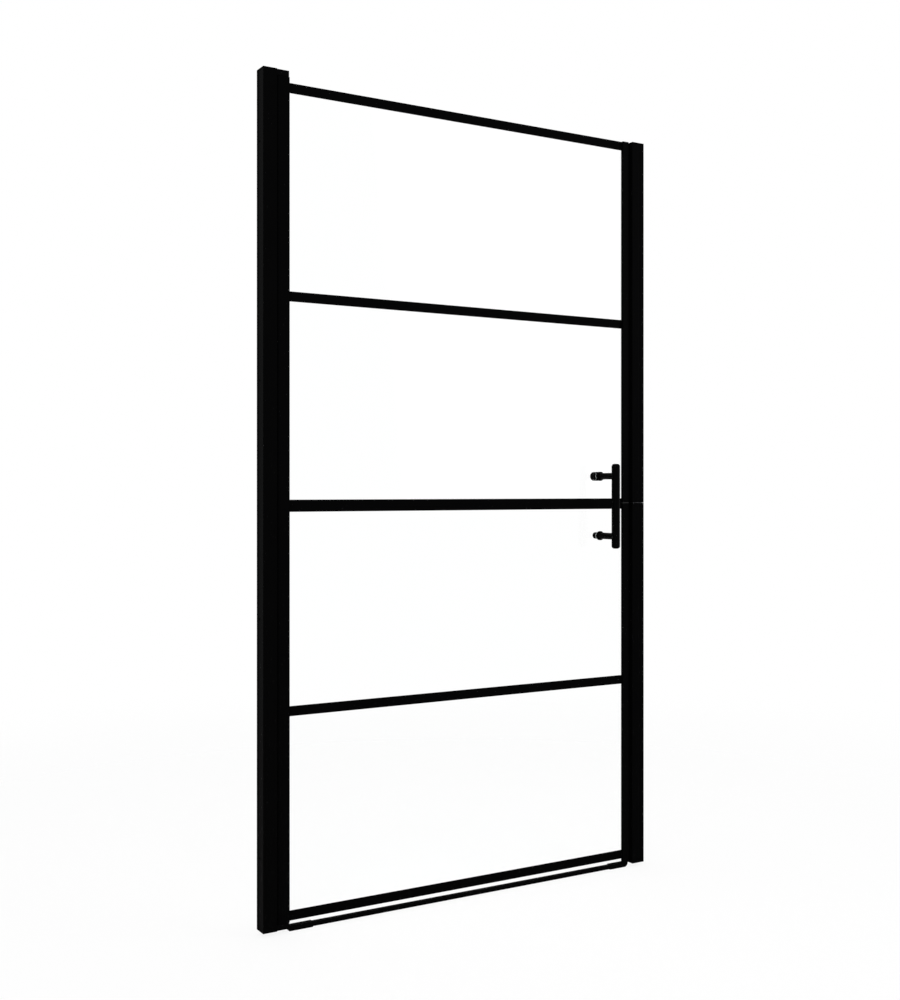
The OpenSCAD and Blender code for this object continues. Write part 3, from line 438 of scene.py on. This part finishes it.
grip_black = turned_black("grip_satin_black", stretch=(0.05, 0.05, 1.0), rough=0.34)
dress(grip_black, "handle_bar")
post_black = turned_black("handle_post_satin_black", stretch=(0.05, 1.0, 0.05), rough=0.34)
dress(post_black, "handle_post_upper", "handle_post_lower", "handle_collar_upper", "handle_collar_lower",
      "handle_knob", "handle_cap_nut")


# Handle washers: soft translucent discs, punched from sheet, that keep the collars and nuts off the
# glass. They show as pale rings beside the dark fittings.
washer_soft, ink, output = new_finish("soft_clear_washer")
haze = cloudy(ink, 240.0)
body = ink.node("ShaderNodeBsdfPrincipled", None, {
    "Base Color": mixed(ink, haze, (0.62, 0.65, 0.65), (0.80, 0.83, 0.83)),
    "Roughness": 0.28 + haze * 0.20, "IOR": 1.45, "Transmission Weight": 0.55})
ink.tree.links.new(body.socket, output.inputs["Surface"])
dress(washer_soft, "handle_front_washers", "handle_rear_washers")


# Stage: a pale floor just under the drip rail that fades into a white background, two large soft
# lamps in front and one above. The door hangs between walls that aren't there.
floor_gap = 0.0006
floor_radius = 7.0
floor_glow = 0.88
middle_x = (cad_box[0][0] + cad_box[1][0]) / 2
floor_middle = (middle_x, 0.0, cad_box[0][2] - floor_gap)
disc = bmesh.new()
bmesh.ops.create_circle(disc, cap_ends=True, segments=96, radius=floor_radius,
                        matrix=Matrix.Translation(floor_middle))
floor_mesh = bpy.data.meshes.new("floor")
disc.to_mesh(floor_mesh)
disc.free()
floor = bpy.data.objects.new("floor", floor_mesh)
bpy.context.scene.collection.objects.link(floor)
pale, ink, output = new_finish("pale_floor")
place = ink.node("ShaderNodeTexCoord", out="Object")
middle = ink.node("ShaderNodeVectorMath", {"operation": "DISTANCE"},
                  {0: place, 1: floor_middle}, out="Value")
fade = ink.node("ShaderNodeMapRange", {"interpolation_type": "SMOOTHSTEP"},
                {"Value": middle, "From Min": 1.2, "From Max": 3.2, "To Min": 0.0, "To Max": 1.0})
ray = ink.tree.nodes.new("ShaderNodeLightPath")
seen = ink.maths("MAXIMUM", Ink(ink.tree, ray.outputs["Is Camera Ray"]),
                 Ink(ink.tree, ray.outputs["Is Transmission Ray"]))
matt = ink.node("ShaderNodeBsdfDiffuse", None, {"Color": (0.86, 0.86, 0.86, 1.0)})
glow = ink.node("ShaderNodeEmission", None, {"Color": (1.0, 1.0, 1.0, 1.0), "Strength": 1.0})
lit = ink.node("ShaderNodeMixShader", None, {0: seen * floor_glow, 1: matt, 2: glow})
clear = ink.node("ShaderNodeBsdfTransparent", None, {"Color": (1.0, 1.0, 1.0, 1.0)})
ground = ink.node("ShaderNodeMixShader", None, {0: fade, 1: lit, 2: clear})
ink.tree.links.new(ground.socket, output.inputs["Surface"])
floor_mesh.materials.append(pale)

dim_sky = 0.6
world = bpy.data.worlds.new("white_studio")
world.use_nodes = True
world.node_tree.nodes.clear()
ink = Ink(world.node_tree)
ray = world.node_tree.nodes.new("ShaderNodeLightPath")
seen = ink.maths("MAXIMUM", Ink(ink.tree, ray.outputs["Is Camera Ray"]),
                 Ink(ink.tree, ray.outputs["Is Glossy Ray"]))
seen = ink.maths("MAXIMUM", seen, Ink(ink.tree, ray.outputs["Is Transmission Ray"]))
sky = ink.node("ShaderNodeBackground", None, {
    "Color": (1.0, 1.0, 1.0, 1.0), "Strength": seen * (1 - dim_sky) + dim_sky})
output = world.node_tree.nodes.new("ShaderNodeOutputWorld")
ink.tree.links.new(sky.socket, output.inputs["Surface"])
bpy.context.scene.world = world


def soft_lamp(name, spot, aim, size, power):
    """A large square lamp at one point, turned to another."""
    lamp = bpy.data.lights.new(name, "AREA")
    lamp.shape = "SQUARE"
    lamp.size = size
    lamp.energy = power
    holder = bpy.data.objects.new(name, lamp)
    holder.location = spot
    holder.rotation_euler = (Vector(aim) - Vector(spot)).to_track_quat("-Z", "Y").to_euler()
    bpy.context.scene.collection.objects.link(holder)


leaf_middle = (middle_x, 0.0, 0.9)
soft_lamp("key_lamp", (-2.4, -3.0, 3.0), leaf_middle, size=2.2, power=70.0)
soft_lamp("fill_lamp", (3.0, -2.6, 2.0), leaf_middle, size=2.4, power=40.0)
soft_lamp("top_lamp", (middle_x, 0.4, 4.2), (middle_x, 0.0, 0.0), size=3.0, power=50.0)


# Camera: level at 0.91 m, turned 31 degrees towards the strike side, with the lens and the small
# vertical shift that the photograph's straight edges give.
lens = bpy.data.cameras.new("photo_camera")
lens.sensor_width = 36.0
lens.sensor_fit = "AUTO"
lens.lens = 46.04
lens.shift_y = -0.0098
lens.dof.use_dof = False
camera = bpy.data.objects.new("photo_camera", lens)
camera.location = (-1.020, -2.4615, 0.910)
camera.rotation_euler = (math.radians(90.0), 0.0, math.radians(-30.96))
bpy.context.scene.collection.objects.link(camera)
bpy.context.scene.camera = camera
bpy.context.scene.view_settings.view_transform = "Standard"
